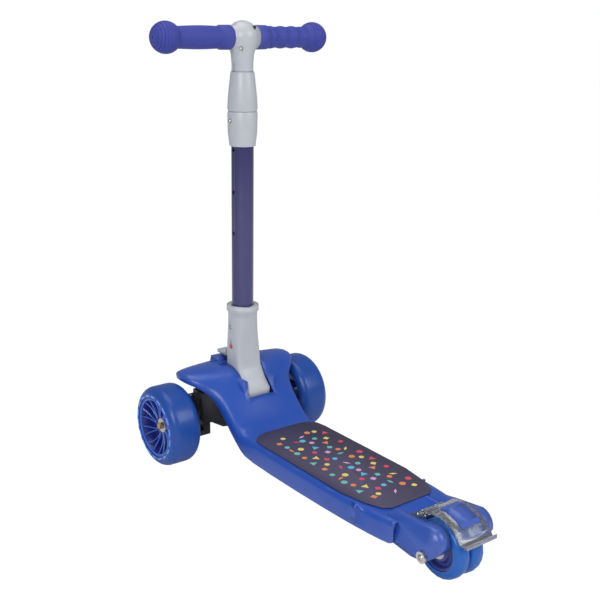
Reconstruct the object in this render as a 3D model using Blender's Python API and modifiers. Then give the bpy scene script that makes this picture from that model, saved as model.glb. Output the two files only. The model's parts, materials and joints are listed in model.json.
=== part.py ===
"""Folding kick scooter with two wide front wheels and a pair of rear wheels.

The frame has +X forward, +Y to the rider's left and +Z up, in metres. Its origin is
on the floor under the middle of the scooter. Run it in Blender 4.5.
"""
import math

import bmesh
import bpy
from mathutils import Matrix, Vector

# Wheels
FRONT_WHEEL_RADIUS = 0.060
FRONT_TYRE_WIDTH = 0.050
FRONT_TRACK = 0.2366
FRONT_RIM_RADIUS = 0.046
REAR_WHEEL_RADIUS = 0.038
REAR_TYRE_WIDTH = 0.0215
REAR_WHEEL_PITCH = 0.0235
REAR_RIM_RADIUS = 0.026
WHEELBASE = 0.4705
FENDER_OVERHANG = 0.050
BEARING_RADIUS = 0.011
BEARING_WIDTH = 0.007
AXLE_RADIUS = 0.004
# Deck
DECK_TOP = 0.066
DECK_WALL = 0.003
PAD_THICKNESS = 0.002
PAD_HALF_WIDTH = 0.057
PAD_LENGTH = 0.274
# Steering
KINGPIN_Y = 0.077
KINGPIN_RADIUS = 0.003
STEER_ARM = 0.022
TIE_ROD_Z = 0.057
TIE_ROD_RADIUS = 0.003
# Stem
STEM_SETBACK = 0.024
STEM_TUBE_RADIUS = 0.0162
STEM_TUBE_WALL = 0.0018
INNER_TUBE_RADIUS = 0.0135
TUBE_HOLE_PITCH = 0.061
TUBE_HOLE_RADIUS = 0.0030
BASE_HALF_WIDTH = 0.0215
BASE_RIM_TOP = 0.233
FOLD_PIN_SETBACK = 0.057
FOLD_PIN_Z = 0.106
FOLD_PIN_RADIUS = 0.004
LATCH_PIN_AHEAD = 0.008
LATCH_PIN_Z = 0.141
# Handlebar
COLLAR_SEAM_Z = 0.519
COLLAR_BOTTOM_Z = 0.470
COLLAR_TOP_Z = 0.574
COLLAR_RADIUS = 0.0216
HANDLE_Z = 0.620
HANDLE_HALF = 0.1420
HANDLE_CORE_RADIUS = 0.0105
HEAD_RADIUS = 0.023
HEAD_HALF_WIDTH = 0.021
GRIP_RADIUS = 0.0147
BALL_RADIUS = 0.0215
BALL_Y = 0.1225
GAP = 0.0003

# Places worked out from the sizes above
REAR_REACH = WHEELBASE + FENDER_OVERHANG
FRONT_AXLE_X = (REAR_REACH - FRONT_WHEEL_RADIUS) / 2
REAR_AXLE_X = FRONT_AXLE_X - WHEELBASE
STEM_X = FRONT_AXLE_X - STEM_SETBACK
FOLD_PIN_X = FRONT_AXLE_X - FOLD_PIN_SETBACK
LATCH_PIN_X = FRONT_AXLE_X + LATCH_PIN_AHEAD
TUBE_TOP_Z = COLLAR_SEAM_Z - 0.004
TUBE_BOTTOM_Z = 0.176
SNAP_Z = COLLAR_SEAM_Z - 0.013

for old in list(bpy.data.objects):
    bpy.data.objects.remove(old, do_unlink=True)
PARTS = bpy.data.collections.new("folding_kick_scooter")
CUTTERS = bpy.data.collections.new("cutters")
bpy.context.scene.collection.children.link(PARTS)
bpy.context.scene.collection.children.link(CUTTERS)


def material(name, colour, roughness, metallic=0.0, alpha=1.0):
    """One Principled material."""
    made = bpy.data.materials.new(name)
    made.use_nodes = True
    shader = made.node_tree.nodes["Principled BSDF"]
    shader.inputs["Base Color"].default_value = (*colour, 1.0)
    shader.inputs["Roughness"].default_value = roughness
    shader.inputs["Metallic"].default_value = metallic
    shader.inputs["Alpha"].default_value = alpha
    return made


DECK_BLUE = material("deck_blue", (0.03, 0.08, 0.50), 0.3)
GRIP_BLUE = material("grip_blue", (0.05, 0.06, 0.40), 0.7)
TUBE_BLUE = material("tube_blue", (0.015, 0.010, 0.25), 0.15, 0.4)
GREY = material("grey_plastic", (0.52, 0.55, 0.60), 0.4)
TYRE_BLUE = material("tyre_blue", (0.02, 0.12, 0.55), 0.3)
HUB_BLUE = material("hub_blue", (0.02, 0.05, 0.40), 0.35)
BLACK = material("black_plastic", (0.01, 0.01, 0.012), 0.5)
STEEL = material("steel", (0.60, 0.58, 0.54), 0.3, 1.0)
RED = material("red_plastic", (0.60, 0.02, 0.02), 0.4)
PAD = material("pad_rubber", (0.05, 0.035, 0.11), 0.8)
CLEAR = material("clear_plastic", (0.80, 0.82, 0.86), 0.1, 0.0, 0.4)


def add_object(name, mesh, finish, helper=False):
    """Puts a mesh in the scooter's collection, or among the cutters."""
    obj = bpy.data.objects.new(name, mesh)
    (CUTTERS if helper else PARTS).objects.link(obj)
    obj.hide_render = helper
    if helper:
        obj.display_type = "WIRE"
    if finish is not None:
        mesh.materials.append(finish)
    return obj


def from_bmesh(name, shape, finish, helper=False):
    """An object from a bmesh, with its faces turned outwards."""
    bmesh.ops.recalc_face_normals(shape, faces=shape.faces)
    mesh = bpy.data.meshes.new(name)
    shape.to_mesh(mesh)
    shape.free()
    return add_object(name, mesh, finish, helper)


def box(name, low, high, finish=None, helper=False, bevel=0.0):
    """A block between two corners, with edges rounded where bevel is given."""
    shape = bmesh.new()
    bmesh.ops.create_cube(shape, size=1.0)
    low, high = Vector(low), Vector(high)
    bmesh.ops.scale(shape, vec=high - low, verts=shape.verts)
    bmesh.ops.translate(shape, vec=(low + high) / 2, verts=shape.verts)
    if bevel:
        bmesh.ops.bevel(shape, geom=shape.edges[:], offset=bevel, segments=2,
                        profile=0.5, affect="EDGES")
    return from_bmesh(name, shape, finish, helper)


TURN = {
    "X": Matrix.Rotation(math.pi / 2, 4, "Y"),
    "Y": Matrix.Rotation(-math.pi / 2, 4, "X"),
    "Z": Matrix.Identity(4),
}


def rod(name, radius, start, end, axis, finish=None, helper=False, sides=16, top=None):
    """A round bar along one axis from start, for the length up to end."""
    shape = bmesh.new()
    start, end = Vector(start), Vector(end)
    bmesh.ops.create_cone(shape, cap_ends=True, segments=sides, radius1=radius,
                          radius2=radius if top is None else top, depth=(end - start).length)
    bmesh.ops.transform(shape, matrix=TURN[axis], verts=shape.verts)
    bmesh.ops.translate(shape, vec=(start + end) / 2, verts=shape.verts)
    obj = from_bmesh(name, shape, finish, helper)
    smooth(obj)
    return obj


def smooth(obj, angle=35):
    """Smooth shading, kept sharp at the edges."""
    obj.data.shade_smooth()
    obj.data.set_sharp_from_angle(angle=math.radians(angle))


def turned(name, profile, place, axis, finish, closed=True, steps=24, helper=False):
    """A profile of (radius, height) points turned about an axis through place."""
    mesh = bpy.data.meshes.new(name)
    points = [(radius, 0.0, height) for radius, height in profile]
    edges = [(i, i + 1) for i in range(len(points) - 1)]
    if closed:
        edges.append((len(points) - 1, 0))
    mesh.from_pydata(points, edges, [])
    obj = add_object(name, mesh, finish, helper)
    screw = obj.modifiers.new("turn", "SCREW")
    screw.axis = "Z"
    screw.steps = steps
    screw.render_steps = steps
    screw.use_merge_vertices = True
    screw.merge_threshold = 0.00001
    screw.use_smooth_shade = True
    obj.matrix_world = Matrix.Translation(Vector(place)) @ TURN[axis]
    return obj


def boolean(obj, other, operation="DIFFERENCE"):
    """A live Boolean of one piece with a helper."""
    step = obj.modifiers.new(operation.lower(), "BOOLEAN")
    step.operation = operation
    step.solver = "EXACT"
    step.object = other
    return obj


def prism(name, outline, plane, low, high, finish=None, helper=False):
    """A flat outline pushed from low to high: plane XZ goes along Y, and YZ along X."""
    shape = bmesh.new()
    if plane == "XZ":
        points = [(a, low, b) for a, b in outline]
        push = (0, high - low, 0)
    elif plane == "YZ":
        points = [(low, a, b) for a, b in outline]
        push = (high - low, 0, 0)
    else:
        points = [(a, b, low) for a, b in outline]
        push = (0, 0, high - low)
    face = shape.faces.new([shape.verts.new(point) for point in points])
    moved = bmesh.ops.extrude_face_region(shape, geom=[face])["geom"]
    bmesh.ops.translate(shape, vec=push, verts=[v for v in moved if isinstance(v, bmesh.types.BMVert)])
    return from_bmesh(name, shape, finish, helper)


def arc(centre, radius, start, end, count):
    """Points on an arc, with the angles in degrees."""
    return [(centre[0] + radius * math.cos(math.radians(start + (end - start) * i / count)),
             centre[1] + radius * math.sin(math.radians(start + (end - start) * i / count)))
            for i in range(count + 1)]


def ring_loft(name, stations, finish, count=32):
    """A solid through rounded-rectangle rings: (z, centre x, half x, half y, squareness)."""
    shape = bmesh.new()
    rings = []
    for z, centre, half_x, half_y, power in stations:
        ring = []
        for i in range(count):
            angle = 2 * math.pi * (i + 0.5) / count
            c, s = math.cos(angle), math.sin(angle)
            x = centre + half_x * math.copysign(abs(c) ** (2 / power), c)
            y = half_y * math.copysign(abs(s) ** (2 / power), s)
            ring.append(shape.verts.new((x, y, z)))
        rings.append([shape.edges.new((ring[i], ring[i - 1])) for i in range(count)])
    for lower, upper in zip(rings, rings[1:]):
        bmesh.ops.bridge_loops(shape, edges=lower + upper)
    for ring in (rings[0], rings[-1]):
        bmesh.ops.edgeloop_fill(shape, edges=ring)
    obj = from_bmesh(name, shape, finish)
    smooth(obj)
    return obj


def deck_stations():
    """Sections of the deck: x, half width, crown height, edge height and skirt height."""
    front, top, wall = FRONT_AXLE_X, DECK_TOP, DECK_TOP - 0.032
    rear = REAR_AXLE_X + 0.044
    return [
        (front + 0.0585, 0.024, 0.084, 0.081, 0.077),
        (front + 0.052, 0.040, 0.112, 0.104, 0.088),
        (front + 0.038, 0.066, 0.127, 0.119, 0.108),
        (front + 0.022, 0.095, 0.138, 0.134, 0.124),
        (front, 0.099, 0.142, 0.138, 0.125),
        (front - 0.022, 0.097, 0.142, 0.136, 0.124),
        (front - 0.036, 0.082, 0.141, 0.128, 0.117),
        (front - 0.048, 0.067, 0.136, 0.118, 0.102),
        (front - 0.070, 0.063, 0.114, 0.100, 0.074),
        (front - 0.092, 0.062, 0.086, 0.080, 0.052),
        (front - 0.110, 0.062, top, top, 0.040),
        (front - 0.124, 0.063, top, top, wall),
        (front - 0.250, 0.064, top, top, wall),
        (front - 0.360, 0.062, top, top, wall),
        (rear + 0.012, 0.056, top, top, wall),
        (rear, 0.053, top, top, wall),
    ]


def deck_shell():
    """The moulded deck: hump with wheel wings, platform, skirt, ribs and rear fork."""
    shape = bmesh.new()
    rows = []
    for x, half, crown, edge, skirt in deck_stations():
        drop = crown - edge
        section = [(0.0, crown), (0.45 * half, crown - 0.2 * drop), (0.82 * half, crown - 0.65 * drop),
                   (half, edge - 0.001), (half + 0.001, (edge + skirt) / 2), (half - 0.001, skirt)]
        rows.append([shape.verts.new((x, y, z)) for y, z in section])
    for near, far in zip(rows, rows[1:]):
        for i in range(len(near) - 1):
            shape.faces.new((near[i], near[i + 1], far[i + 1], far[i]))
    bmesh.ops.recalc_face_normals(shape, faces=shape.faces)
    shape.normal_update()
    if sum(face.normal.z * face.calc_area() for face in shape.faces) < 0:
        bmesh.ops.reverse_faces(shape, faces=shape.faces)
    mesh = bpy.data.meshes.new("deck_shell")
    shape.to_mesh(mesh)
    shape.free()
    obj = add_object("deck_shell", mesh, DECK_BLUE)
    mirror = obj.modifiers.new("mirror", "MIRROR")
    mirror.use_axis = (False, True, False)
    mirror.merge_threshold = 0.00005
    soft = obj.modifiers.new("round", "SUBSURF")
    soft.levels = 1
    soft.render_levels = 1
    wall = obj.modifiers.new("wall", "SOLIDIFY")
    wall.thickness = DECK_WALL
    wall.offset = -1.0
    rear = REAR_AXLE_X + 0.044
    low, top = DECK_TOP - 0.031, DECK_TOP - 0.002
    lengths = (FRONT_AXLE_X - 0.125 - rear) / 5
    for i in range(5):
        x = rear + 0.002 + lengths * i
        boolean(obj, box(f"rib_{i}", (x, -0.0610 + 0.008 * (i == 0), low + 0.004),
                         (x + 0.003, 0.0610 - 0.008 * (i == 0), top), helper=True), "UNION")
    for side in (-1, 1):
        y0, y1 = sorted((side * 0.0225, side * 0.0275))
        boolean(obj, box(f"cheek_{side}", (FOLD_PIN_X - 0.014, y0, 0.088),
                         (FRONT_AXLE_X - 0.006, y1, 0.128), helper=True), "UNION")
        y0, y1 = sorted((side * 0.0275, side * 0.046))
        arm = [(rear + 0.030, low), (rear + 0.030, DECK_TOP - 0.001), (rear - 0.010, DECK_TOP + 0.006),
               *arc((REAR_AXLE_X - 0.006, DECK_TOP - 0.008), 0.020, 95, 185, 5),
               (REAR_AXLE_X - 0.020, 0.046), (REAR_AXLE_X - 0.004, 0.032), (REAR_AXLE_X + 0.020, 0.029)]
        boolean(obj, prism(f"fork_{side}", arm, "XZ", y0, y1, helper=True), "UNION")
    lug = [(LATCH_PIN_X - 0.006, 0.118), (LATCH_PIN_X - 0.006, 0.1465), (LATCH_PIN_X + 0.006, 0.1465),
           (LATCH_PIN_X + 0.017, 0.143), (LATCH_PIN_X + 0.026, 0.116)]
    boolean(obj, prism("lug", lug, "XZ", -0.026, 0.026, helper=True), "UNION")
    boolean(obj, box("lug_slot", (LATCH_PIN_X - 0.02, -0.0125, 0.129),
                     (LATCH_PIN_X + 0.0075, 0.0125, 0.16), helper=True))
    boolean(obj, rod("latch_pin_hole", 0.002 + GAP, (LATCH_PIN_X, -0.0228, LATCH_PIN_Z),
                     (LATCH_PIN_X, 0.04, LATCH_PIN_Z), "Y", helper=True, sides=16))
    boolean(obj, box("stem_slot", (FOLD_PIN_X - 0.019, -0.0222, 0.06),
                     (FRONT_AXLE_X - 0.0085, 0.0222, 0.2), helper=True))
    boolean(obj, rod("fold_pin_hole", FOLD_PIN_RADIUS + GAP, (FOLD_PIN_X, -0.05, FOLD_PIN_Z),
                     (FOLD_PIN_X, 0.05, FOLD_PIN_Z), "Y", helper=True))
    boolean(obj, rod("rear_axle_hole", AXLE_RADIUS + GAP, (REAR_AXLE_X, -0.07, REAR_WHEEL_RADIUS),
                     (REAR_AXLE_X, 0.07, REAR_WHEEL_RADIUS), "Y", helper=True))
    smooth(obj)


def front_beam():
    """The black axle beam under the hump, with forked ends for the kingpins."""
    half = [(0.066, 0.100), (0.066, 0.055), (0.050, 0.050), (0.030, 0.038), (0.0, 0.034)]
    outline = half + [(-y, z) for y, z in reversed(half[:-1])]
    obj = prism("front_beam", outline, "YZ", FRONT_AXLE_X - 0.014, FRONT_AXLE_X + 0.014, BLACK)
    for side in (-1, 1):
        for low, high in ((0.088, 0.096), (0.030, 0.038)):
            inner, outer = sorted((side * 0.050, side * (KINGPIN_Y + 0.008)))
            boolean(obj, box(f"ear_{side}_{low}", (FRONT_AXLE_X - 0.009, inner, low),
                             (FRONT_AXLE_X + 0.009, outer, high), helper=True), "UNION")
        y0, y1 = sorted((side * 0.050, side * 0.0615))
        boolean(obj, box(f"ear_root_{side}", (FRONT_AXLE_X - 0.009, y0, 0.030),
                         (FRONT_AXLE_X + 0.009, y1, 0.060), helper=True), "UNION")
        boolean(obj, rod(f"kingpin_hole_{side}", KINGPIN_RADIUS + GAP,
                         (FRONT_AXLE_X, side * KINGPIN_Y, 0.02), (FRONT_AXLE_X, side * KINGPIN_Y, 0.12),
                         "Z", helper=True, sides=16))
    boolean(obj, box("beam_relief", (FRONT_AXLE_X - 0.03, -0.0282, 0.0865),
                     (FRONT_AXLE_X + 0.03, 0.0282, 0.12), helper=True))


def front_corner(name, side):
    """One kingpin, knuckle, wheel, bearings and nut."""
    x, y, z = FRONT_AXLE_X, side * KINGPIN_Y, FRONT_WHEEL_RADIUS
    rod(f"kingpin_{name}", KINGPIN_RADIUS, (x, y, 0.028), (x, y, 0.0985), "Z", STEEL, sides=16)
    knuckle = rod(f"knuckle_{name}", 0.0090, (x, y, 0.0385), (x, y, 0.0875), "Z", BLACK)
    inner, outer = sorted((y, side * (FRONT_TRACK / 2 + 0.0115)))
    boolean(knuckle, rod(f"stub_{name}", AXLE_RADIUS, (x, inner, z), (x, outer, z), "Y", helper=True), "UNION")
    inner, outer = sorted((y + side * 0.004, side * (FRONT_TRACK / 2 - 0.0148)))
    boolean(knuckle, rod(f"shoulder_{name}", 0.0075, (x, inner, z), (x, outer, z), "Y", helper=True), "UNION")
    arm = box(f"steer_arm_{name}", (x, y - 0.005, 0.045), (x + STEER_ARM + 0.004, y + 0.005, 0.0520), helper=True)
    boolean(knuckle, arm, "UNION")
    pin = rod(f"steer_pin_{name}", 0.0020, (x + STEER_ARM, y, 0.050), (x + STEER_ARM, y, 0.062), "Z",
              helper=True, sides=16)
    boolean(knuckle, pin, "UNION")
    boolean(knuckle, rod(f"knuckle_bore_{name}", KINGPIN_RADIUS + GAP, (x, y, 0.02), (x, y, 0.11), "Z",
                         helper=True, sides=16))
    centre = (x, side * FRONT_TRACK / 2, z)
    wheel(f"front_{name}", centre, side, FRONT_WHEEL_RADIUS, FRONT_TYRE_WIDTH, FRONT_RIM_RADIUS, 12)
    rod(f"front_nut_{name}", 0.0052, (x, side * (FRONT_TRACK / 2 + 0.0121) if side > 0 else centre[1] - 0.0165, z),
        (x, centre[1] + 0.0165 if side > 0 else centre[1] - 0.0121, z), "Y", STEEL, sides=6)


def wheel(name, centre, side, radius, width, rim, spokes):
    """Tyre, spoked hub and two bearings about a Y axis."""
    half = width / 2
    shoulder = min((radius - rim) * 0.82, half * 0.75)
    flat = half - shoulder
    tyre = [(rim + GAP, flat + shoulder), (radius - shoulder, flat + shoulder)]
    tyre += [(radius - shoulder + shoulder * math.sin(math.radians(a)),
              flat + shoulder * math.cos(math.radians(a))) for a in (30, 60, 90)]
    tyre += [(radius - shoulder + shoulder * math.sin(math.radians(a)),
              -flat - shoulder * math.cos(math.radians(a))) for a in (90, 60, 30)]
    tyre += [(radius - shoulder, -half), (rim + GAP, -half)]
    turned(f"{name.replace('_', '_tyre_', 1)}", tyre, centre, "Y", TYRE_BLUE)
    bore = BEARING_RADIUS + GAP
    boss = 0.0115 if width > 0.03 else half - 0.001
    web = 0.004
    outer_face = half - 0.002
    hub = [(bore, boss), (bore + 0.0035, boss), (bore + 0.0035, web), (rim - 0.004, web),
           (rim - 0.003, outer_face), (rim, outer_face), (rim, -outer_face), (rim - 0.003, -outer_face),
           (rim - 0.004, -web), (bore + 0.0035, -web), (bore + 0.0035, -boss), (bore, -boss)]
    obj = turned(f"{name.replace('_', '_hub_', 1)}", hub, centre, "Y", HUB_BLUE)
    if spokes:
        for i in range(spokes):
            angle = 2 * math.pi * i / spokes
            spoke = box(f"{name}_spoke_{i}", (bore + 0.002, -0.0008, -0.010), (rim - 0.002, 0.0008, 0.0095),
                        helper=True)
            spoke.matrix_world = (Matrix.Translation(Vector(centre)) @ TURN["Y"]
                                  @ Matrix.Rotation(angle, 4, "Z"))
            boolean(obj, spoke, "UNION")
    for label, start in (("outer", boss - BEARING_WIDTH), ("inner", -boss)):
        level = (start, start + BEARING_WIDTH)
        if side < 0:
            level = (-level[1], -level[0])
        ring = [(AXLE_RADIUS + GAP, level[1]), (BEARING_RADIUS, level[1]),
                (BEARING_RADIUS, level[0]), (AXLE_RADIUS + GAP, level[0])]
        turned(f"{name}_bearing_{label}", ring, centre, "Y", STEEL, steps=16)


def rear_end():
    """Rear axle, its nuts, the two wheels and the brake fender."""
    x, z = REAR_AXLE_X, REAR_WHEEL_RADIUS
    reach = 0.046
    rod("rear_axle", AXLE_RADIUS, (x, -reach - 0.0045, z), (x, reach + 0.0045, z), "Y", STEEL)
    for name, side in (("left", 1), ("right", -1)):
        low, high = sorted((side * (reach + GAP), side * (reach + 0.004)))
        ring = [(AXLE_RADIUS + GAP, high), (0.0075, high), (0.0075, low), (AXLE_RADIUS + GAP, low)]
        turned(f"rear_nut_{name}", ring, (x, 0, z), "Y", STEEL, steps=16)
        wheel(f"rear_{name}", (x, side * REAR_WHEEL_PITCH / 2, z), side, REAR_WHEEL_RADIUS,
              REAR_TYRE_WIDTH, REAR_RIM_RADIUS, 0)
    inner = REAR_WHEEL_RADIUS + 0.0075
    outer = inner + 0.0045
    skin = arc((x, z), outer, 38, 150, 12)
    tail = (x - FENDER_OVERHANG, z + 0.030)
    outline = skin + [tail, (tail[0], tail[1] - 0.006)] + arc((x, z), inner, 146, 38, 12)
    fender = prism("brake_fender", outline, "XZ", -0.0250, 0.0250, CLEAR)
    pivot = Vector(arc((x, z), inner + 0.0025, 38, 38, 1)[0])
    boolean(fender, rod("fender_barrel", 0.0045, (pivot[0], -0.0250, pivot[1]), (pivot[0], 0.0250, pivot[1]),
                        "Y", helper=True), "UNION")
    boolean(fender, rod("fender_bore", 0.0018 + GAP, (pivot[0], -0.05, pivot[1]), (pivot[0], 0.05, pivot[1]),
                        "Y", helper=True, sides=16))
    boolean(bpy.data.objects["deck_shell"],
            rod("fender_pin_hole", 0.0018 + GAP, (pivot[0], -0.0400, pivot[1]), (pivot[0], 0.0400, pivot[1]),
                "Y", helper=True, sides=16))
    rod("fender_pin", 0.0018, (pivot[0], -0.0385, pivot[1]), (pivot[0], 0.0385, pivot[1]), "Y", STEEL, sides=16)
    insert = arc((x, z), outer + 0.0022, 84, 128, 6) + arc((x, z), outer + GAP, 128, 84, 6)
    prism("fender_insert", insert, "XZ", -0.0150, 0.0150, DECK_BLUE)
    return pivot


def stem():
    """Grey foot, blue outer tube, lower collar, lock button and screws."""
    s, p = STEM_X, FOLD_PIN_X
    rows = [
        (0.095, p - 0.0005, 0.0125, BASE_HALF_WIDTH - 0.0005, 5), (0.110, p + 0.004, 0.0170, BASE_HALF_WIDTH, 6),
        (0.126, s - 0.009, 0.0225, BASE_HALF_WIDTH, 6), (0.140, s - 0.003, 0.0185, BASE_HALF_WIDTH, 6),
        (0.165, s - 0.001, 0.0175, BASE_HALF_WIDTH, 5), (0.190, s, 0.0190, 0.0215, 2.8),
        (0.215, s, 0.0218, 0.0218, 2), (0.222, s, 0.0220, 0.0220, 2), (0.2255, s, 0.0243, 0.0243, 2),
        (BASE_RIM_TOP, s, 0.0240, 0.0240, 2),
    ]
    base = ring_loft("stem_base", rows, GREY)
    boolean(base, rod("tube_socket", STEM_TUBE_RADIUS + GAP, (s, 0, TUBE_BOTTOM_Z - GAP), (s, 0, 0.3), "Z",
                      helper=True, sides=24))
    boolean(base, rod("fold_bore", FOLD_PIN_RADIUS + GAP, (p, -0.05, FOLD_PIN_Z), (p, 0.05, FOLD_PIN_Z), "Y",
                      helper=True))
    boolean(base, rod("screw_recess", 0.0032, (s + 0.002, 0.0185, 0.200), (s + 0.002, 0.03, 0.200), "Y",
                      helper=True, sides=16))
    rod("base_screw", 0.0028, (s + 0.002, 0.0188, 0.200), (s + 0.002, 0.0212, 0.200), "Y", STEEL, sides=16)
    boolean(base, rod("button_bore", 0.0034, (s, 0.0130, 0.1705), (s, 0.03, 0.1705), "Y", helper=True, sides=16))
    rod("lock_button", 0.0030, (s, 0.0170, 0.1705), (s, 0.0222, 0.1705), "Y", RED, sides=16)
    rod("fold_pin", FOLD_PIN_RADIUS, (p, -0.0274, FOLD_PIN_Z), (p, 0.0274, FOLD_PIN_Z), "Y", STEEL)
    inner = STEM_TUBE_RADIUS - STEM_TUBE_WALL
    tube = turned("stem_tube", [(STEM_TUBE_RADIUS, TUBE_TOP_Z), (STEM_TUBE_RADIUS, TUBE_BOTTOM_Z),
                                (inner, TUBE_BOTTOM_Z), (inner, TUBE_TOP_Z)], (s, 0, 0), "Z", TUBE_BLUE)
    for i in range(3):
        level = COLLAR_BOTTOM_Z - 0.005 - i * TUBE_HOLE_PITCH
        boolean(tube, rod(f"tube_hole_{i}", TUBE_HOLE_RADIUS, (s, 0.005, level), (s, 0.03, level), "Y",
                          helper=True, sides=16))
    snap_hole = rod("snap_hole", 0.0034, (s, 0.005, SNAP_Z), (s, 0.03, SNAP_Z), "Y", helper=True, sides=16)
    boolean(tube, snap_hole)
    bore = STEM_TUBE_RADIUS + GAP
    collar = turned("lower_collar", [(COLLAR_RADIUS - 0.001, COLLAR_SEAM_Z - GAP), (COLLAR_RADIUS, COLLAR_SEAM_Z - 0.003),
                                     (COLLAR_RADIUS - 0.0005, COLLAR_SEAM_Z - 0.030),
                                     (0.0188, COLLAR_BOTTOM_Z), (bore, COLLAR_BOTTOM_Z),
                                     (bore, COLLAR_SEAM_Z - GAP)], (s, 0, 0), "Z", GREY)
    boolean(collar, snap_hole)
    rod("snap_button", 0.0030, (s, 0.0175, SNAP_Z), (s, 0.0232, SNAP_Z), "Y", STEEL, sides=16, top=0.0020)


def head():
    """Inner tube, upper collar, split head shells, bar and grips."""
    s = STEM_X
    core = HANDLE_CORE_RADIUS
    turned("inner_tube", [(INNER_TUBE_RADIUS, 0.604), (INNER_TUBE_RADIUS, 0.260), (INNER_TUBE_RADIUS - 0.0015, 0.260),
                          (INNER_TUBE_RADIUS - 0.0015, 0.604)], (s, 0, 0), "Z", STEEL)
    bore = INNER_TUBE_RADIUS + GAP
    turned("upper_collar", [(0.0165, COLLAR_TOP_Z - GAP), (0.0172, COLLAR_TOP_Z - 0.003), (0.0205, COLLAR_SEAM_Z + 0.022),
                            (COLLAR_RADIUS, COLLAR_SEAM_Z + 0.004), (COLLAR_RADIUS - 0.001, COLLAR_SEAM_Z + GAP),
                            (bore, COLLAR_SEAM_Z + GAP), (bore, COLLAR_TOP_Z - GAP)], (s, 0, 0), "Z", GREY)
    for name, side in (("front", 1), ("rear", -1)):
        profile = [(0.0, HANDLE_Z + HEAD_RADIUS)]
        profile += [(HEAD_RADIUS * math.sin(math.radians(a)), HANDLE_Z + HEAD_RADIUS * math.cos(math.radians(a)))
                    for a in range(15, 121, 15)]
        profile += [(0.0165, HANDLE_Z - 0.022), (0.0153, COLLAR_TOP_Z + 0.010), (0.0155, COLLAR_TOP_Z + GAP),
                    (0.0, COLLAR_TOP_Z + GAP)]
        shell = turned(f"head_shell_{name}", profile, (s, 0, 0), "Z", GREY, closed=False)
        boolean(shell, rod(f"head_boss_{name}", 0.0160, (s, -HEAD_HALF_WIDTH, HANDLE_Z), (s, HEAD_HALF_WIDTH, HANDLE_Z),
                           "Y", helper=True, sides=24), "UNION")
        boolean(shell, rod(f"neck_bore_{name}", bore, (s, 0, 0.5), (s, 0, 0.6045), "Z", helper=True, sides=24))
        boolean(shell, rod(f"bar_bore_{name}", core + GAP, (s, -0.05, HANDLE_Z), (s, 0.05, HANDLE_Z), "Y",
                           helper=True, sides=24))
        edge = s - side * 0.00015
        low, high = sorted((edge - side * 0.06, edge + side * 0.0003))
        boolean(shell, box(f"split_{name}", (low, -0.05, 0.5), (high, 0.05, 0.7), helper=True))
    rear = bpy.data.objects["head_shell_rear"]
    for i, (y, z) in enumerate(((0.0125, 0.6055), (-0.0090, 0.6335))):
        boolean(rear, rod(f"head_screw_recess_{i}", 0.0028, (s - 0.03, y, z), (s - 0.0140, y, z), "X",
                          helper=True, sides=16))
        rod(f"head_screw_{i + 1}", 0.0025, (s - 0.0168, y, z), (s - 0.0143, y, z), "X", STEEL, sides=16)
    turned("handlebar_core", [(core, 0.118), (core, -0.118), (core - 0.0016, -0.118), (core - 0.0016, 0.118)],
           (s, 0, HANDLE_Z), "Y", STEEL, steps=24)
    for name, side in (("left", 1), ("right", -1)):
        start = HEAD_HALF_WIDTH + GAP
        outer = [(core + GAP, start), (0.0164, start), (0.0168, start + 0.002), (0.0164, start + 0.019),
                 (GRIP_RADIUS, start + 0.021), (GRIP_RADIUS + 0.0006, 0.075), (GRIP_RADIUS, 0.103)]
        outer += [(BALL_RADIUS * math.sin(math.radians(a)), BALL_Y - BALL_RADIUS * math.cos(math.radians(a)))
                  for a in range(50, 150, 14)]
        outer += [(0.0095, HANDLE_HALF), (0.002, HANDLE_HALF), (0.002, 0.1185), (core + GAP, 0.1185)]
        if side > 0:
            outer.reverse()
        turned(f"grip_{name}", [(radius, side * y) for radius, y in outer], (s, 0, HANDLE_Z), "Y", GRIP_BLUE)


def latch():
    """The ribbed latch in front of the stem's foot, and its pin."""
    x, z = LATCH_PIN_X, LATCH_PIN_Z
    front = STEM_X + 0.0185
    outline = [(front + GAP, 0.1495), (x + 0.009, 0.1495), (x + 0.010, 0.1530)]
    steps = 4
    run = (x + 0.009 - front) / steps
    for i in range(steps):
        high = 0.1545 + 0.0018 * i
        outline += [(x + 0.009 - run * i, high), (x + 0.009 - run * (i + 0.7), high + 0.0006)]
    outline.append((front + GAP, 0.1610))
    plate = prism("fold_latch", outline, "XZ", -0.0190, 0.0190, GREY)
    ear = [(x - 0.0045, 0.152), (x - 0.0045, z - 0.0035), (x + 0.0045, z - 0.0035), (x + 0.0045, 0.152)]
    boolean(plate, prism("latch_ear", ear, "XZ", -0.0118, 0.0118, helper=True), "UNION")
    boolean(plate, rod("latch_bore", 0.002 + GAP, (x, -0.03, z), (x, 0.03, z), "Y", helper=True, sides=16))
    rod("latch_pin", 0.002, (x, -0.0225, z), (x, 0.0258, z), "Y", STEEL, sides=16)


def grip_pad():
    """The thin pad on the platform, narrower at the rear."""
    front = FRONT_AXLE_X - 0.126
    back = front - PAD_LENGTH
    w = PAD_HALF_WIDTH
    half = [(front, 0.030), (front - 0.004, w - 0.012), (front - 0.014, w - 0.002), (front - 0.030, w),
            (back + 0.070, w), (back + 0.030, w - 0.006), (back + 0.008, w - 0.014), (back, w - 0.024)]
    outline = half + [(x, -y) for x, y in reversed(half)]
    prism("grip_pad", outline, "XY", DECK_TOP + GAP, DECK_TOP + GAP + PAD_THICKNESS, PAD)


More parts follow.
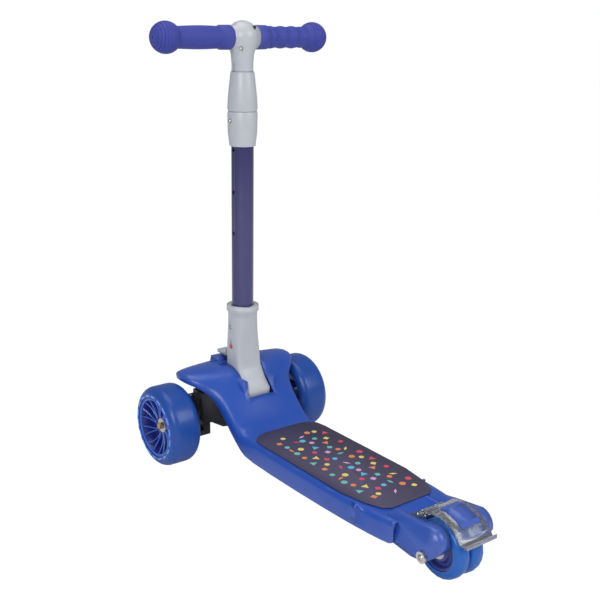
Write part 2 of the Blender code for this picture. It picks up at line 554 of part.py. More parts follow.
def tie_rod():
    """The rod that turns both knuckles together, with an eye at each end."""
    x, z = FRONT_AXLE_X + STEER_ARM, TIE_ROD_Z
    bar = box("tie_rod", (x - 0.0045, -KINGPIN_Y - 0.0055, z - 0.0030), (x + 0.0045, KINGPIN_Y + 0.0055, z + 0.0030),
              BLACK, bevel=0.0008)
    for side, clear in ((1, GAP), (-1, 0.0006)):
        boolean(bar, rod(f"eye_{side}", 0.0020 + clear, (x, side * KINGPIN_Y, 0.04), (x, side * KINGPIN_Y, 0.08), "Z",
                         helper=True, sides=16))


deck_shell()
front_beam()
front_corner("left", 1)
front_corner("right", -1)
tie_rod()
rear_end()
stem()
head()
latch()
grip_pad()
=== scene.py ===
"""Looks of the folding kick scooter: finishes, fine pieces, floor, light and camera."""
import json
import logging
import math
from dataclasses import dataclass
from enum import Enum

import bmesh
import bpy
from mathutils import Matrix, Vector

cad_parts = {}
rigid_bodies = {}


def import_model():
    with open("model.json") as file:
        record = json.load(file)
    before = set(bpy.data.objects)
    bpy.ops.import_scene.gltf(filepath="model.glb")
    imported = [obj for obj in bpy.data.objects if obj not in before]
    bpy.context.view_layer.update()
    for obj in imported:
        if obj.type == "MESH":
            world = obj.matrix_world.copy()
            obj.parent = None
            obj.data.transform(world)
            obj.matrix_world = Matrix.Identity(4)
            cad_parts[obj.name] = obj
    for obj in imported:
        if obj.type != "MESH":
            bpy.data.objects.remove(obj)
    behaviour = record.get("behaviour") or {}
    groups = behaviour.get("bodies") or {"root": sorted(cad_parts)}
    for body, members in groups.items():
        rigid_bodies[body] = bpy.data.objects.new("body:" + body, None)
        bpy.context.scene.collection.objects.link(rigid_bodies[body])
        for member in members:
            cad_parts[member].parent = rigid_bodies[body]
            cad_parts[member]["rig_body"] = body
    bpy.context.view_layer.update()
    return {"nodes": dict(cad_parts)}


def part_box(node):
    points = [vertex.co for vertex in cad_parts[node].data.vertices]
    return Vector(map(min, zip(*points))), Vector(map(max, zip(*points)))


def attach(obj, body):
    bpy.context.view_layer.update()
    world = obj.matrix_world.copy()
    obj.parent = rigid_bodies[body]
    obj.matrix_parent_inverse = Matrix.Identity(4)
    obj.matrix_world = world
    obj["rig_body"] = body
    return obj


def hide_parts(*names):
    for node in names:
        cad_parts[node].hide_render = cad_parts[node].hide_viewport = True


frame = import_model()

LOG = logging.getLogger("scooter")
Colour = tuple[float, float, float]
Point = tuple[float, float, float]
Profile = list[tuple[float, float]]

FULL_TURN = 2 * math.pi
CORNER_STEPS = 8
WHEEL_STEPS = 96
PIECE_SHARP_DEG = 35.0
NODE_SHARP_DEG = 38.0
SPOKE_SHARP_DEG = 60.0
PIECE_MERGE = 0.000005
NODE_MERGE = 0.000002
BUMP_DEPTH = 0.0005


class Side(Enum):
    """The rider's left and right, with the sign of their Y."""

    LEFT = 1
    RIGHT = -1

    @property
    def label(self) -> str:
        """The word used in node names."""
        return self.name.lower()


class Surface(Enum):
    """The kind of surface that a finish has."""

    MOULDED = "moulded"
    RUBBER = "rubber"
    PAINTED = "painted"
    METAL = "metal"
    CLEAR = "clear"
    URETHANE = "urethane"


SHADER_VALUES = {
    Surface.MOULDED: {"Coat Weight": 0.25, "Coat Roughness": 0.15},
    Surface.RUBBER: {},
    Surface.PAINTED: {"Metallic": 0.35, "Coat Weight": 0.6, "Coat Roughness": 0.05},
    Surface.METAL: {"Metallic": 1.0},
    Surface.CLEAR: {"Transmission Weight": 0.92, "IOR": 1.47},
    Surface.URETHANE: {"Transmission Weight": 0.35, "IOR": 1.45},
}


def math_node(tree: bpy.types.NodeTree, operation: str, second: float | None = None) -> bpy.types.Node:
    """Adds a Math node to a tree.

    Args:
        tree: The tree.
        operation: What the node works out.
        second: The value of its second input, where that is fixed.

    Returns:
        The new node.
    """
    made = tree.nodes.new("ShaderNodeMath")
    made.operation = operation
    if second is not None:
        made.inputs[1].default_value = second
    return made


@dataclass(frozen=True)
class Grain:
    """The pattern that all finishes share: mottled colour, worn edges and fine grain."""

    broad_scale: float = 22.0
    fine_detail: float = 4.0
    edge_start: float = 0.52
    edge_full: float = 0.62
    worn_colour: tuple[float, float, float, float] = (0.75, 0.78, 0.85, 1.0)
    roughness_spread: float = 0.10

    def mottled(self, tree: bpy.types.NodeTree, given: bpy.types.Node,
                place: bpy.types.Node) -> bpy.types.NodeSocket:
        """Varies the colour's brightness in broad patches.

        Args:
            tree: The group's tree.
            given: The group's input node.
            place: The texture coordinate node.

        Returns:
            The varied colour.
        """
        nodes, links = tree.nodes, tree.links
        broad = nodes.new("ShaderNodeTexNoise")
        broad.inputs["Scale"].default_value = self.broad_scale
        links.new(place.outputs["Object"], broad.inputs["Vector"])
        shade = nodes.new("ShaderNodeMapRange")
        shade.inputs["To Min"].default_value = -1.0
        links.new(broad.outputs["Fac"], shade.inputs["Value"])
        amount = math_node(tree, "MULTIPLY")
        links.new(shade.outputs["Result"], amount.inputs[0])
        links.new(given.outputs["Mottle"], amount.inputs[1])
        bright = math_node(tree, "ADD", 1.0)
        links.new(amount.outputs[0], bright.inputs[0])
        tint = nodes.new("ShaderNodeHueSaturation")
        links.new(given.outputs["Colour"], tint.inputs["Color"])
        links.new(bright.outputs[0], tint.inputs["Value"])
        return tint.outputs["Color"]

    def worn(self, tree: bpy.types.NodeTree, given: bpy.types.Node,
             colour: bpy.types.NodeSocket) -> bpy.types.NodeSocket:
        """Lightens the outer edges.

        Args:
            tree: The group's tree.
            given: The group's input node.
            colour: The colour without wear.

        Returns:
            The colour with worn edges.
        """
        nodes, links = tree.nodes, tree.links
        shape = nodes.new("ShaderNodeNewGeometry")
        edge = nodes.new("ShaderNodeMapRange")
        edge.inputs["From Min"].default_value = self.edge_start
        edge.inputs["From Max"].default_value = self.edge_full
        links.new(shape.outputs["Pointiness"], edge.inputs["Value"])
        share = math_node(tree, "MULTIPLY")
        links.new(edge.outputs["Result"], share.inputs[0])
        links.new(given.outputs["Wear"], share.inputs[1])
        mix = nodes.new("ShaderNodeMix")
        mix.data_type = "RGBA"
        mix.inputs["B"].default_value = self.worn_colour
        links.new(share.outputs[0], mix.inputs["Factor"])
        links.new(colour, mix.inputs["A"])
        return mix.outputs["Result"]

    def build(self) -> bpy.types.NodeTree:
        """Builds the shared group.

        Returns:
            The node group.
        """
        tree = bpy.data.node_groups.new("surface_grain", "ShaderNodeTree")
        tree.interface.new_socket("Colour", in_out="INPUT", socket_type="NodeSocketColor")
        for name in ("Scale", "Mottle", "Roughness", "Wear"):
            tree.interface.new_socket(name, in_out="INPUT", socket_type="NodeSocketFloat")
        tree.interface.new_socket("Colour", in_out="OUTPUT", socket_type="NodeSocketColor")
        for name in ("Roughness", "Height"):
            tree.interface.new_socket(name, in_out="OUTPUT", socket_type="NodeSocketFloat")
        nodes, links = tree.nodes, tree.links
        given = nodes.new("NodeGroupInput")
        out = nodes.new("NodeGroupOutput")
        place = nodes.new("ShaderNodeTexCoord")
        fine = nodes.new("ShaderNodeTexNoise")
        fine.inputs["Detail"].default_value = self.fine_detail
        links.new(place.outputs["Object"], fine.inputs["Vector"])
        links.new(given.outputs["Scale"], fine.inputs["Scale"])
        rough = math_node(tree, "MULTIPLY_ADD", self.roughness_spread)
        links.new(fine.outputs["Fac"], rough.inputs[0])
        links.new(given.outputs["Roughness"], rough.inputs[2])
        colour = self.worn(tree, given, self.mottled(tree, given, place))
        links.new(colour, out.inputs["Colour"])
        links.new(rough.outputs[0], out.inputs["Roughness"])
        links.new(fine.outputs["Fac"], out.inputs["Height"])
        return tree


@dataclass(frozen=True)
class Finish:
    """One material of the scooter."""

    name: str
    colour: Colour
    roughness: float
    surface: Surface = Surface.MOULDED
    grain: float = 900.0
    bump: float = 0.05
    mottle: float = 0.04
    wear: float = 0.05
    # Strength of a painted glow: emission that makes a part look lit, though it is no lamp.
    glow: float = 0.0

    def build(self, grain: bpy.types.NodeTree) -> bpy.types.Material:
        """Makes the material.

        Args:
            grain: The shared grain group.

        Returns:
            The new material.
        """
        made = bpy.data.materials.new(self.name)
        made.use_nodes = True
        nodes, links = made.node_tree.nodes, made.node_tree.links
        shader = nodes["Principled BSDF"]
        group = nodes.new("ShaderNodeGroup")
        group.node_tree = grain
        group.inputs["Colour"].default_value = (*self.colour, 1.0)
        group.inputs["Scale"].default_value = self.grain
        group.inputs["Mottle"].default_value = self.mottle
        group.inputs["Roughness"].default_value = self.roughness
        group.inputs["Wear"].default_value = self.wear
        bump = nodes.new("ShaderNodeBump")
        bump.inputs["Strength"].default_value = self.bump
        bump.inputs["Distance"].default_value = BUMP_DEPTH
        links.new(group.outputs["Height"], bump.inputs["Height"])
        links.new(bump.outputs["Normal"], shader.inputs["Normal"])
        links.new(group.outputs["Colour"], shader.inputs["Base Color"])
        links.new(group.outputs["Roughness"], shader.inputs["Roughness"])
        for name, value in SHADER_VALUES[self.surface].items():
            shader.inputs[name].default_value = value
        # Painted glow: the part gives off light in its own colour, though it is no lamp.
        if self.glow:
            shader.inputs["Emission Color"].default_value = (*self.colour, 1.0)
            shader.inputs["Emission Strength"].default_value = self.glow
        return made


DECK = Finish("deck_blue_gloss", (0.010, 0.072, 0.430), 0.30)
GRIP = Finish("grip_blue_rubber", (0.035, 0.050, 0.330), 0.55, Surface.RUBBER, bump=0.25)
TUBE = Finish("tube_ultramarine", (0.006, 0.004, 0.130), 0.12, Surface.PAINTED, bump=0.01)
GREY = Finish("grey_moulding", (0.500, 0.530, 0.580), 0.32, bump=0.06, wear=0.0)
TYRE = Finish("tyre_urethane", (0.018, 0.105, 0.500), 0.26, Surface.URETHANE, bump=0.01)
REAR_TYRE = Finish("rear_tyre_urethane", (0.010, 0.170, 0.680), 0.20, Surface.URETHANE, bump=0.01)
HUB = Finish("hub_navy", (0.012, 0.022, 0.230), 0.30)
SPOKE = Finish("spoke_blue", (0.030, 0.130, 0.620), 0.28)
# The ring's glow is painted light: emission on a moulded ring that is no lamp.
RING = Finish("ring_cyan", (0.020, 0.260, 0.900), 0.30, glow=0.25)
LUG = Finish("lug_dark", (0.040, 0.050, 0.110), 0.45)
BLACK = Finish("black_moulding", (0.008, 0.008, 0.010), 0.45, Surface.RUBBER, bump=0.2)
STEEL = Finish("plated_steel", (0.620, 0.600, 0.560), 0.24, Surface.METAL, grain=1500.0)
BRASS = Finish("brass_nut", (0.560, 0.400, 0.220), 0.32, Surface.METAL, grain=1500.0)
DARK = Finish("dark_screw", (0.030, 0.030, 0.034), 0.40, Surface.METAL)
RED = Finish("red_button", (0.640, 0.012, 0.015), 0.30)
PAD = Finish("pad_plum", (0.042, 0.030, 0.092), 0.60, Surface.RUBBER, grain=700.0, bump=0.5)
CLEAR = Finish("clear_fender", (0.900, 0.920, 0.950), 0.06, Surface.CLEAR,
               bump=0.0, wear=0.0, mottle=0.0)
PRINTS = {
    "yellow": Finish("print_yellow", (0.80, 0.64, 0.16), 0.6, Surface.RUBBER),
    "teal": Finish("print_teal", (0.13, 0.50, 0.46), 0.6, Surface.RUBBER),
    "pink": Finish("print_pink", (0.66, 0.36, 0.56), 0.6, Surface.RUBBER),
    "red": Finish("print_red", (0.70, 0.04, 0.09), 0.6, Surface.RUBBER),
    "orange": Finish("print_orange", (0.78, 0.22, 0.05), 0.6, Surface.RUBBER),
    "sky": Finish("print_sky", (0.08, 0.48, 0.74), 0.6, Surface.RUBBER),
}

# Finishes by the start of a node's name. What isn't listed is plated steel.
NODE_FINISH = {
    "deck_shell": DECK, "fender_insert": DECK, "grip_pad": PAD, "front_beam": BLACK, "tie_rod": BLACK,
    "knuckle_": BLACK, "stem_tube": TUBE, "stem_base": GREY, "lower_collar": GREY, "upper_collar": GREY,
    "head_shell_": GREY, "fold_latch": GREY, "lock_button": RED, "brake_fender": CLEAR,
    "head_screw_2": DARK, "grip_left": GRIP, "grip_right": GRIP, "front_tyre_": TYRE,
    "rear_tyre_": REAR_TYRE, "front_hub_": HUB, "rear_hub_": HUB, "front_nut_": BRASS,
}


class Paint:
    """Builds each finish once and hands it out."""

    def __init__(self) -> None:
        """Builds the shared group."""
        self.grain = Grain().build()
        self.made: dict[str, bpy.types.Material] = {}

    def of(self, finish: Finish) -> bpy.types.Material:
        """Gives the material of a finish.

        Args:
            finish: The finish wanted.

        Returns:
            Its material, built on first use.
        """
        if finish.name not in self.made:
            self.made[finish.name] = finish.build(self.grain)
        return self.made[finish.name]

    def dress(self, obj: bpy.types.Object, finish: Finish) -> None:
        """Puts a finish on an object.

        Args:
            obj: The object.
            finish: The finish.
        """
        if not obj.material_slots:
            obj.data.materials.append(None)
        for place in obj.material_slots:
            place.link = "OBJECT"
            place.material = self.of(finish)


def finish_mesh(name: str, shape: bmesh.types.BMesh, sharp: float = PIECE_SHARP_DEG) -> bpy.types.Object:
    """Turns a bmesh into a linked object with its faces outwards.

    Args:
        name: The object's name.
        shape: The bmesh, which is freed.
        sharp: The angle in degrees past which an edge stays sharp.

    Returns:
        The new object.
    """
    bmesh.ops.remove_doubles(shape, verts=shape.verts, dist=PIECE_MERGE)
    bmesh.ops.recalc_face_normals(shape, faces=shape.faces)
    mesh = bpy.data.meshes.new(name)
    shape.to_mesh(mesh)
    shape.free()
    mesh.shade_smooth()
    mesh.set_sharp_from_angle(angle=math.radians(sharp))
    obj = bpy.data.objects.new(name, mesh)
    bpy.context.scene.collection.objects.link(obj)
    return obj


def spin_profile(name: str, profile: Profile, centre: Point, steps: int = WHEEL_STEPS) -> bpy.types.Object:
    """Spins a closed profile about the Y axis through a centre.

    Args:
        name: The object's name.
        profile: Points of (radius, y).
        centre: The place of the axis.
        steps: Steps round the circle.

    Returns:
        The turned piece.
    """
    shape = bmesh.new()
    points = [shape.verts.new((radius, y, 0.0)) for radius, y in profile]
    edges = [shape.edges.new(pair) for pair in zip(points, points[1:])]
    edges.append(shape.edges.new((points[-1], points[0])))
    bmesh.ops.spin(shape, geom=points + edges, cent=(0, 0, 0), axis=(0, 1, 0), dvec=(0, 0, 0),
                   angle=FULL_TURN, steps=steps, use_merge=True, use_duplicate=False)
    bmesh.ops.translate(shape, vec=centre, verts=shape.verts)
    return finish_mesh(name, shape)


def round_corner(radius: float, y: float, size: float, start: float) -> Profile:
    """Points of a quarter-round corner in (radius, y).

    Args:
        radius: The corner centre's radius.
        y: The corner centre's y.
        size: The corner's own radius.
        start: The first angle in degrees.

    Returns:
        The points.
    """
    turn = [math.radians(start + 90.0 * i / CORNER_STEPS) for i in range(CORNER_STEPS + 1)]
    return [(radius + size * math.cos(a), y + size * math.sin(a)) for a in turn]


@dataclass(frozen=True)
class SpokeShape:
    """One curved spoke from the boss out to the rim: places in metres, angles in radians."""

    root: float = 0.0125
    root_height: float = 0.0125
    tip_gap: float = 0.0040
    root_angle: float = 0.05
    spread: float = 0.115
    sweep: float = 0.22
    half_width: float = 0.0010
    half_depth: float = 0.0011
    keel: float = 2.2
    steps: int = 8

    def section(self) -> Profile:
        """The four corners of its section, as (across, up)."""
        across, up = self.half_width, self.half_depth
        return [(-across, 0.0), (0.0, up), (across, 0.0), (0.0, -self.keel * up)]


@dataclass
class FrontWheel:
    """A wide front wheel: tyre, dished hub, paired spokes, bright ring with a painted glow, and dark lugs.

    The walls, insets and gaps are measured inwards from the rim, and the recesses from the tyre's face.
    """

    side: Side
    paint: Paint
    rim: float = 0.0460
    rim_gap: float = 0.0002
    shoulder: float = 0.0135
    tyre_steps: int = 128
    bore: float = 0.0115
    boss: float = 0.0155
    boss_half: float = 0.0115
    inner_foot: float = 0.0165
    outer_foot: float = 0.0200
    web_half: float = 0.0050
    face_recess: float = 0.0016
    inner_wall: tuple[float, float] = (0.0060, 0.0040)
    outer_wall: tuple[float, float, float] = (0.0065, 0.0045, 0.0030)
    lip_depth: float = 0.0020
    spoke: SpokeShape = SpokeShape()
    spoke_pairs: int = 9
    bead: float = 0.0016
    bead_inset: float = 0.0035
    bead_recess: float = 0.0022
    bead_sides: int = 10
    ring_start: float = 0.0004
    ring_widths: tuple[float, float] = (0.0034, 0.0030)
    ring_depth: float = 0.0030
    ring_proud: float = 0.00015
    lugs: int = 18
    lug_size: Point = (0.0022, 0.0030, 0.0060)
    lug_offset: float = 0.0019
    lug_recess: float = 0.0010

    def __post_init__(self) -> None:
        """Reads the place and size from the frame."""
        low, high = (Vector(corner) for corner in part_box(f"front_tyre_{self.side.label}"))
        self.centre = (low + high) / 2
        self.radius = (high.z - low.z) / 2
        self.half = (high.y - low.y) / 2
        self.body = f"front_wheel_{self.side.label}"

    def tyre(self) -> None:
        """The tyre with round shoulders."""
        flat = self.half - self.shoulder
        inner = self.rim + self.rim_gap
        profile = [(inner, -self.half)]
        profile += round_corner(self.radius - self.shoulder, -flat, self.shoulder, -90)
        profile += round_corner(self.radius - self.shoulder, flat, self.shoulder, 0)
        profile.append((inner, self.half))
        made = spin_profile(f"tyre_front_{self.side.label}", profile, self.centre, self.tyre_steps)
        self.paint.dress(made, TYRE)
        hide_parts(f"front_tyre_{self.side.label}")
        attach(made, self.body)

    def hub(self) -> None:
        """The barrel, web and boss of the hub."""
        face = self.half - self.face_recess
        inner_root, inner_edge = self.inner_wall
        outer_root, outer_neck, outer_edge = self.outer_wall
        profile = [(self.bore, -self.boss_half), (self.boss, -self.boss_half),
                   (self.inner_foot, -self.web_half), (self.rim - inner_root, -self.web_half),
                   (self.rim - inner_edge, -face), (self.rim, -face), (self.rim, face),
                   (self.rim - outer_edge, face), (self.rim - outer_neck, face - self.lip_depth),
                   (self.rim - outer_root, self.web_half), (self.outer_foot, self.web_half),
                   (self.boss, self.boss_half), (self.bore, self.boss_half)]
        made = spin_profile(f"hub_front_{self.side.label}", profile, self.centre)
        self.paint.dress(made, HUB)
        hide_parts(f"front_hub_{self.side.label}")
        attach(made, self.body)

    def spoke_loop(self, shape: bmesh.types.BMesh, base: float, lean: int,
                   t: float) -> list[bmesh.types.BMEdge]:
        """Adds one section of a spoke.

        Args:
            shape: The bmesh that it goes into.
            base: The pair's angle round the wheel.
            lean: Which spoke of the pair it is, -1 or 1.
            t: How far out it lies, from 0 at the boss to 1 at the rim.

        Returns:
            The section's edges.
        """
        spoke = self.spoke
        out = self.side.value
        radius = spoke.root + (self.rim - spoke.tip_gap - spoke.root) * t
        angle = base + lean * (spoke.root_angle + spoke.spread * t) + spoke.sweep * math.sin(math.pi * t / 2)
        height = out * (spoke.root_height + (self.half - spoke.tip_gap - spoke.root_height) * t * t)
        cos, sin = math.cos(angle), math.sin(angle)
        ring = []
        for across, up in spoke.section():
            spot = Vector((radius * cos - across * sin, height + out * up, radius * sin + across * cos))
            ring.append(shape.verts.new(spot + self.centre))
        return [shape.edges.new(pair) for pair in zip(ring, ring[1:] + ring[:1])]

    def spokes(self) -> None:
        """Pairs of curved spokes from the boss to the rim."""
        shape = bmesh.new()
        for pair in range(self.spoke_pairs):
            for lean in (-1, 1):
                base = FULL_TURN * pair / self.spoke_pairs
                steps = self.spoke.steps
                loops = [self.spoke_loop(shape, base, lean, step / steps) for step in range(steps + 1)]
                for near, far in zip(loops, loops[1:]):
                    bmesh.ops.bridge_loops(shape, edges=near + far)
                for end in (loops[0], loops[-1]):
                    bmesh.ops.edgeloop_fill(shape, edges=end)
        made = finish_mesh(f"spokes_front_{self.side.label}", shape, SPOKE_SHARP_DEG)
        self.paint.dress(made, SPOKE)
        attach(made, self.body)

    def rim_bead(self) -> None:
        """The round bead just inside the rim."""
        face = self.side.value * (self.half - self.bead_recess)
        turn = [FULL_TURN * i / self.bead_sides for i in range(self.bead_sides)]
        profile = [(self.rim - self.bead_inset + self.bead * math.cos(a), face + self.bead * math.sin(a))
                   for a in turn]
        made = spin_profile(f"rim_bead_front_{self.side.label}", profile, self.centre)
        self.paint.dress(made, SPOKE)
        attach(made, self.body)

    def glow_ring(self) -> None:
        """The bright ring round the hub, whose glow is painted light: the ring is no lamp."""
        out = self.side.value
        face = out * (self.half + self.ring_proud)
        low = out * (self.half - self.ring_depth)
        inner = self.rim + self.ring_start
        foot, top = (self.rim + width for width in self.ring_widths)
        profile = [(inner, low), (foot, low), (top, face), (inner, face)]
        made = spin_profile(f"glow_ring_{self.side.label}", profile, self.centre)
        self.paint.dress(made, RING)
        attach(made, self.body)

    def lug_ring(self) -> None:
        """The dark lugs set in the bright ring."""
        shape = bmesh.new()
        place = (self.rim + self.lug_offset, self.side.value * (self.half - self.lug_recess), 0.0)
        for i in range(self.lugs):
            made = bmesh.ops.create_cube(shape, size=1.0)["verts"]
            bmesh.ops.scale(shape, vec=self.lug_size, verts=made)
            bmesh.ops.translate(shape, vec=place, verts=made)
            turn = Matrix.Rotation(FULL_TURN * i / self.lugs, 4, "Y")
            bmesh.ops.transform(shape, matrix=Matrix.Translation(self.centre) @ turn, verts=made)
        lugs = finish_mesh(f"lugs_{self.side.label}", shape)
        self.paint.dress(lugs, LUG)
        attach(lugs, self.body)

    def build(self) -> None:
        """Builds the whole wheel."""
        self.tyre()
        self.hub()
        self.spokes()
        self.rim_bead()
        self.glow_ring()
        self.lug_ring()
        LOG.info("front wheel %s", self.side.label)


@dataclass(frozen=True)
class HandWave:
    """How the hand part of a grip swells: the height, the number of waves and the points."""

    height: float
    waves: float
    points: int


HAND_WAVES = {Side.LEFT: HandWave(0.0008, 0.5, 12), Side.RIGHT: HandWave(0.0007, 3.0, 24)}


@dataclass
class Grip:
    """A rubber grip with a flange, a hand part and a grooved ball at its end."""

    side: Side
    paint: Paint
    bore: float = 0.0108
    flange: tuple[tuple[float, float], ...] = ((0.0160, 0.0), (0.0168, 0.0015), (0.0166, 0.0170))
    hand: float = 0.0150
    hand_start: float = 0.0195
    hand_length: float = 0.0580
    ball_share: float = 0.91
    ball_from_deg: float = 137.0
    ball_to_deg: float = 26.0
    ball_steps: int = 44
    groove: float = 0.0007
    groove_every: int = 5
    end_face: float = 0.0088
    vent: float = 0.0018
    vent_depth: float = 0.0200
    bore_depth: float = 0.0240
    turn_steps: int = 80

    def hand_part(self, near: float) -> Profile:
        """The hand part's points, outwards.

        Args:
            near: Where the grip starts.

        Returns:
            Points of (radius, y).
        """
        wave = HAND_WAVES[self.side]
        start = near + self.hand_start
        points = [(self.hand, start)]
        for i in range(1, wave.points + 1):
            t = i / wave.points
            swell = wave.height * math.sin(FULL_TURN * wave.waves * t)
            points.append((self.hand + swell, start + self.hand_length * t))
        return points

    def ball(self, radius: float, middle: float) -> Profile:
        """The ball's points, outwards, with its grooves.

        Args:
            radius: The ball's radius.
            middle: The y of its centre.

        Returns:
            Points of (radius, y).
        """
        points = []
        for i in range(self.ball_steps + 1):
            share = i / self.ball_steps
            angle = math.radians(self.ball_from_deg + (self.ball_to_deg - self.ball_from_deg) * share)
            grooved = i > self.groove_every and i % self.groove_every == 0
            reach = radius - (self.groove if grooved else 0.0)
            points.append((reach * math.sin(angle), middle + reach * math.cos(angle)))
        return points

    def build(self) -> None:
        """Builds the grip over its node."""
        low, high = (Vector(corner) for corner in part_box(f"grip_{self.side.label}"))
        centre = Vector(((low.x + high.x) / 2, 0.0, (low.z + high.z) / 2))
        ball = (high.z - low.z) / 2
        near = min(abs(low.y), abs(high.y))
        far = max(abs(low.y), abs(high.y))
        profile = [(self.bore, near)]
        profile += [(radius, near + y) for radius, y in self.flange]
        profile += self.hand_part(near)
        profile += self.ball(ball, far - ball * self.ball_share)
        profile += [(self.end_face, far), (self.vent, far), (self.vent, far - self.vent_depth),
                    (self.bore, far - self.bore_depth)]
        ordered = [(radius, self.side.value * y) for radius, y in profile]
        made = spin_profile(f"rubber_grip_{self.side.label}", ordered, centre, self.turn_steps)
        self.paint.dress(made, GRIP)
        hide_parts(f"grip_{self.side.label}")
        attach(made, "head")
        LOG.info("grip %s", self.side.label)


class Motif(Enum):
    """A plain shape of the print: its number of sides and how wide it is for its length."""

    DISC = (24, 1.0)
    TRIANGLE = (3, 1.0)
    SQUARE = (4, 1.0)
    BAR = (4, 0.35)
    HEXAGON = (6, 1.0)


MOTIFS = (Motif.DISC, Motif.TRIANGLE, Motif.SQUARE, Motif.DISC, Motif.BAR, Motif.HEXAGON)


@dataclass
class PadPrint:
    """Plain confetti on the platform pad, in thin raised shapes."""

    paint: Paint
    lift: float = 0.00012
    rows: int = 13
    columns: int = 5
    sizes: tuple[float, ...] = (0.0052, 0.0068, 0.0085)
    size_per_radius: float = 1.4
    front_margin: float = 0.030
    both_margins: float = 0.055
    side_margin: float = 0.013
    drift_along: float = 0.006
    drift_across: float = 0.005
    drift_along_step: float = 2.7
    drift_across_step: float = 1.9
    turn_step: float = 0.9
    size_step: int = 7
    motif_step: int = 5
    colour_step: int = 4

    def __post_init__(self) -> None:
        """Reads the pad's place from the frame."""
        self.low, self.high = (Vector(corner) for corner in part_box("grip_pad"))

    def place(self, row: int, column: int, index: int) -> Matrix:
        """Works out where one shape lies and how it is turned.

        Args:
            row: Its row, from the front.
            column: Its column, from the right.
            index: Its number.

        Returns:
            The matrix that puts it there.
        """
        along = (self.high.x - self.low.x - self.both_margins) * (row + 0.5) / self.rows
        drift = self.drift_along * math.sin(self.drift_along_step * index)
        x = self.high.x - self.front_margin - along + drift
        across = (self.high.y - self.side_margin) * (2 * (column + 0.5) / self.columns - 1)
        y = across + self.drift_across * math.cos(self.drift_across_step * index)
        turn = Matrix.Rotation(self.turn_step * index, 4, "Z")
        return Matrix.Translation((x, y, self.high.z + self.lift / 2)) @ turn

    def build(self) -> None:
        """Lays discs, triangles, squares, bars and hexagons over the pad, a piece for each colour."""
        names = list(PRINTS)
        shapes = {name: bmesh.new() for name in names}
        for row in range(self.rows):
            for column in range(self.columns):
                index = row * self.columns + column
                radius = self.sizes[(index * self.size_step) % len(self.sizes)] / self.size_per_radius
                sides, width = MOTIFS[(index * self.motif_step) % len(MOTIFS)].value
                shape = shapes[names[(index * self.colour_step + row) % len(names)]]
                made = bmesh.ops.create_cone(shape, cap_ends=True, segments=sides, radius1=radius,
                                             radius2=radius, depth=self.lift)["verts"]
                bmesh.ops.scale(shape, vec=(1.0, width, 1.0), verts=made)
                bmesh.ops.transform(shape, matrix=self.place(row, column, index), verts=made)
        for name, shape in shapes.items():
            made = finish_mesh(f"print_{name}", shape)
            self.paint.dress(made, PRINTS[name])
            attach(made, "deck")
        LOG.info("pad print")


@dataclass(frozen=True)
class Softbox:
    """One soft area lamp: its name, place, side and power in watts."""

    name: str
    place: Point
    side: float
    power: float


SOFTBOXES = (
    Softbox("left_softbox", (-1.2, 1.9, 1.5), 1.2, 26.0),
    Softbox("rear_softbox", (-1.9, -0.9, 1.6), 1.2, 20.0),
    Softbox("top_softbox", (0.4, 0.2, 2.6), 1.8, 22.0),
)


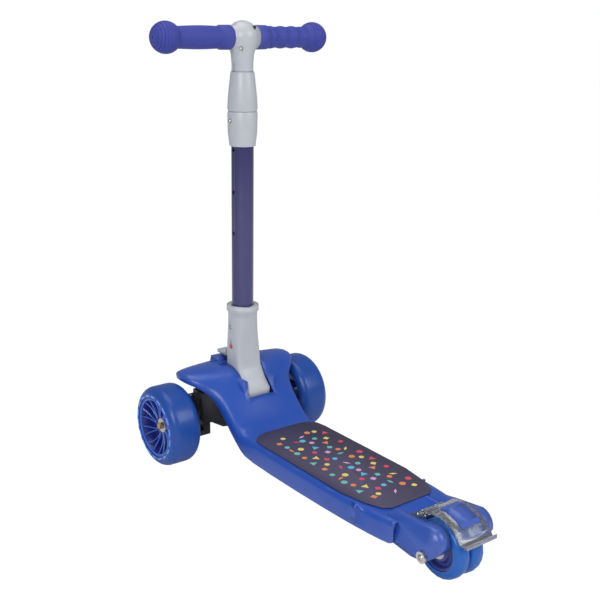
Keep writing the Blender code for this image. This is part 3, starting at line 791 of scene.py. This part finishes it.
@dataclass
class Studio:
    """Floor, world, lamps and camera. The camera's angles are in radians."""

    focal_px: float = 979.6
    image_px: float = 600.0
    sensor_mm: float = 36.0
    clip_start: float = 0.01
    eye: Point = (-0.96379, 0.79211, 0.65089)
    yaw: float = -0.656
    pitch: float = 0.283
    roll: float = 0.016
    lamp_target: Point = (0.0, 0.0, 0.25)
    floor_half: float = 30.0
    floor_drop: float = 0.0005
    floor_colour: tuple[float, float, float, float] = (0.9, 0.9, 0.9, 1.0)
    floor_roughness: float = 0.9
    floor_glow: float = 1.06
    glow_share: float = 0.94
    world_light: float = 0.30
    world_seen: float = 1.0

    def camera(self) -> None:
        """Places the camera at the photograph's viewing angle."""
        data = bpy.data.cameras.new("camera")
        data.sensor_fit = "HORIZONTAL"
        data.sensor_width = self.sensor_mm
        data.lens = self.sensor_mm * self.focal_px / self.image_px
        data.clip_start = self.clip_start
        obj = bpy.data.objects.new("camera", data)
        bpy.context.scene.collection.objects.link(obj)
        ahead = Vector((math.cos(self.yaw) * math.cos(self.pitch), math.sin(self.yaw) * math.cos(self.pitch),
                        -math.sin(self.pitch)))
        right = Vector((math.sin(self.yaw), -math.cos(self.yaw), 0.0))
        over = right.cross(ahead)
        turned = right * math.cos(self.roll) + over * math.sin(self.roll)
        upward = over * math.cos(self.roll) - right * math.sin(self.roll)
        pose = Matrix((turned, upward, -ahead)).transposed().to_4x4()
        pose.translation = Vector(self.eye)
        obj.matrix_world = pose
        bpy.context.scene.camera = obj

    def floor(self) -> None:
        """A pale floor that reads as white and keeps the scooter's shadow."""
        shape = bmesh.new()
        bmesh.ops.create_grid(shape, x_segments=1, y_segments=1, size=self.floor_half)
        bmesh.ops.translate(shape, vec=(0, 0, -self.floor_drop), verts=shape.verts)
        floor = finish_mesh("floor", shape)
        made = bpy.data.materials.new("floor_white")
        made.use_nodes = True
        nodes, links = made.node_tree.nodes, made.node_tree.links
        shader = nodes["Principled BSDF"]
        shader.inputs["Base Color"].default_value = self.floor_colour
        shader.inputs["Roughness"].default_value = self.floor_roughness
        glow = nodes.new("ShaderNodeEmission")
        glow.inputs["Color"].default_value = (1.0, 1.0, 1.0, 1.0)
        glow.inputs["Strength"].default_value = self.floor_glow
        rays = nodes.new("ShaderNodeLightPath")
        mix = nodes.new("ShaderNodeMixShader")
        share = math_node(made.node_tree, "MULTIPLY", self.glow_share)
        links.new(rays.outputs["Is Camera Ray"], share.inputs[0])
        links.new(share.outputs[0], mix.inputs[0])
        links.new(shader.outputs[0], mix.inputs[1])
        links.new(glow.outputs[0], mix.inputs[2])
        links.new(mix.outputs[0], nodes["Material Output"].inputs["Surface"])
        floor.data.materials.append(made)

    def world(self) -> None:
        """A white world, brighter to the camera than to the scooter."""
        world = bpy.data.worlds.new("studio")
        bpy.context.scene.world = world
        world.use_nodes = True
        tree = world.node_tree
        sky = tree.nodes["Background"]
        sky.inputs["Color"].default_value = (1.0, 1.0, 1.0, 1.0)
        seen = tree.nodes.new("ShaderNodeLightPath")
        level = tree.nodes.new("ShaderNodeMapRange")
        level.inputs["To Min"].default_value = self.world_light
        level.inputs["To Max"].default_value = self.world_seen
        tree.links.new(seen.outputs["Is Camera Ray"], level.inputs["Value"])
        tree.links.new(level.outputs["Result"], sky.inputs["Strength"])

    def lamp(self, softbox: Softbox) -> None:
        """Adds one soft area lamp aimed at the scooter.

        Args:
            softbox: The lamp's place, size and power.
        """
        data = bpy.data.lights.new(softbox.name, "AREA")
        data.size = softbox.side
        data.energy = softbox.power
        obj = bpy.data.objects.new(softbox.name, data)
        bpy.context.scene.collection.objects.link(obj)
        aim = Vector(self.lamp_target) - Vector(softbox.place)
        obj.location = softbox.place
        obj.rotation_euler = aim.to_track_quat("-Z", "Y").to_euler()

    def build(self) -> None:
        """Builds the studio."""
        self.camera()
        self.floor()
        self.world()
        for softbox in SOFTBOXES:
            self.lamp(softbox)
        bpy.context.scene.view_settings.view_transform = "Standard"
        LOG.info("studio")


def chosen_finish(node: str) -> Finish:
    """Picks the finish of a CAD node.

    Args:
        node: The node's name.

    Returns:
        Its finish.
    """
    for start, finish in NODE_FINISH.items():
        if node.startswith(start):
            return finish
    return STEEL


def dress_nodes(paint: Paint, remade: set[str]) -> None:
    """Dresses every CAD node, and lays a smooth-shaded copy over each that no finer piece replaces.

    Args:
        paint: The finishes.
        remade: The nodes that have a finer piece.
    """
    for node, source in frame["nodes"].items():
        finish = chosen_finish(node)
        paint.dress(source, finish)
        if node in remade:
            continue
        shape = bmesh.new()
        shape.from_mesh(source.data)
        bmesh.ops.remove_doubles(shape, verts=shape.verts, dist=NODE_MERGE)
        mesh = bpy.data.meshes.new(f"{node}_smooth")
        shape.to_mesh(mesh)
        shape.free()
        mesh.materials.clear()
        mesh.shade_smooth()
        mesh.set_sharp_from_angle(angle=math.radians(NODE_SHARP_DEG))
        made = bpy.data.objects.new(f"{node}_smooth", mesh)
        bpy.context.scene.collection.objects.link(made)
        paint.dress(made, finish)
        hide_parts(node)
        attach(made, source["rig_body"])
    LOG.info("nodes dressed")


def main() -> None:
    """Builds the scene."""
    logging.basicConfig(level=logging.INFO)
    paint = Paint()
    Studio().build()
    remade = set()
    for side in Side:
        FrontWheel(side, paint).build()
        Grip(side, paint).build()
        remade |= {f"front_tyre_{side.label}", f"front_hub_{side.label}", f"grip_{side.label}"}
    dress_nodes(paint, remade)
    PadPrint(paint).build()


if __name__ == "__main__":
    main()
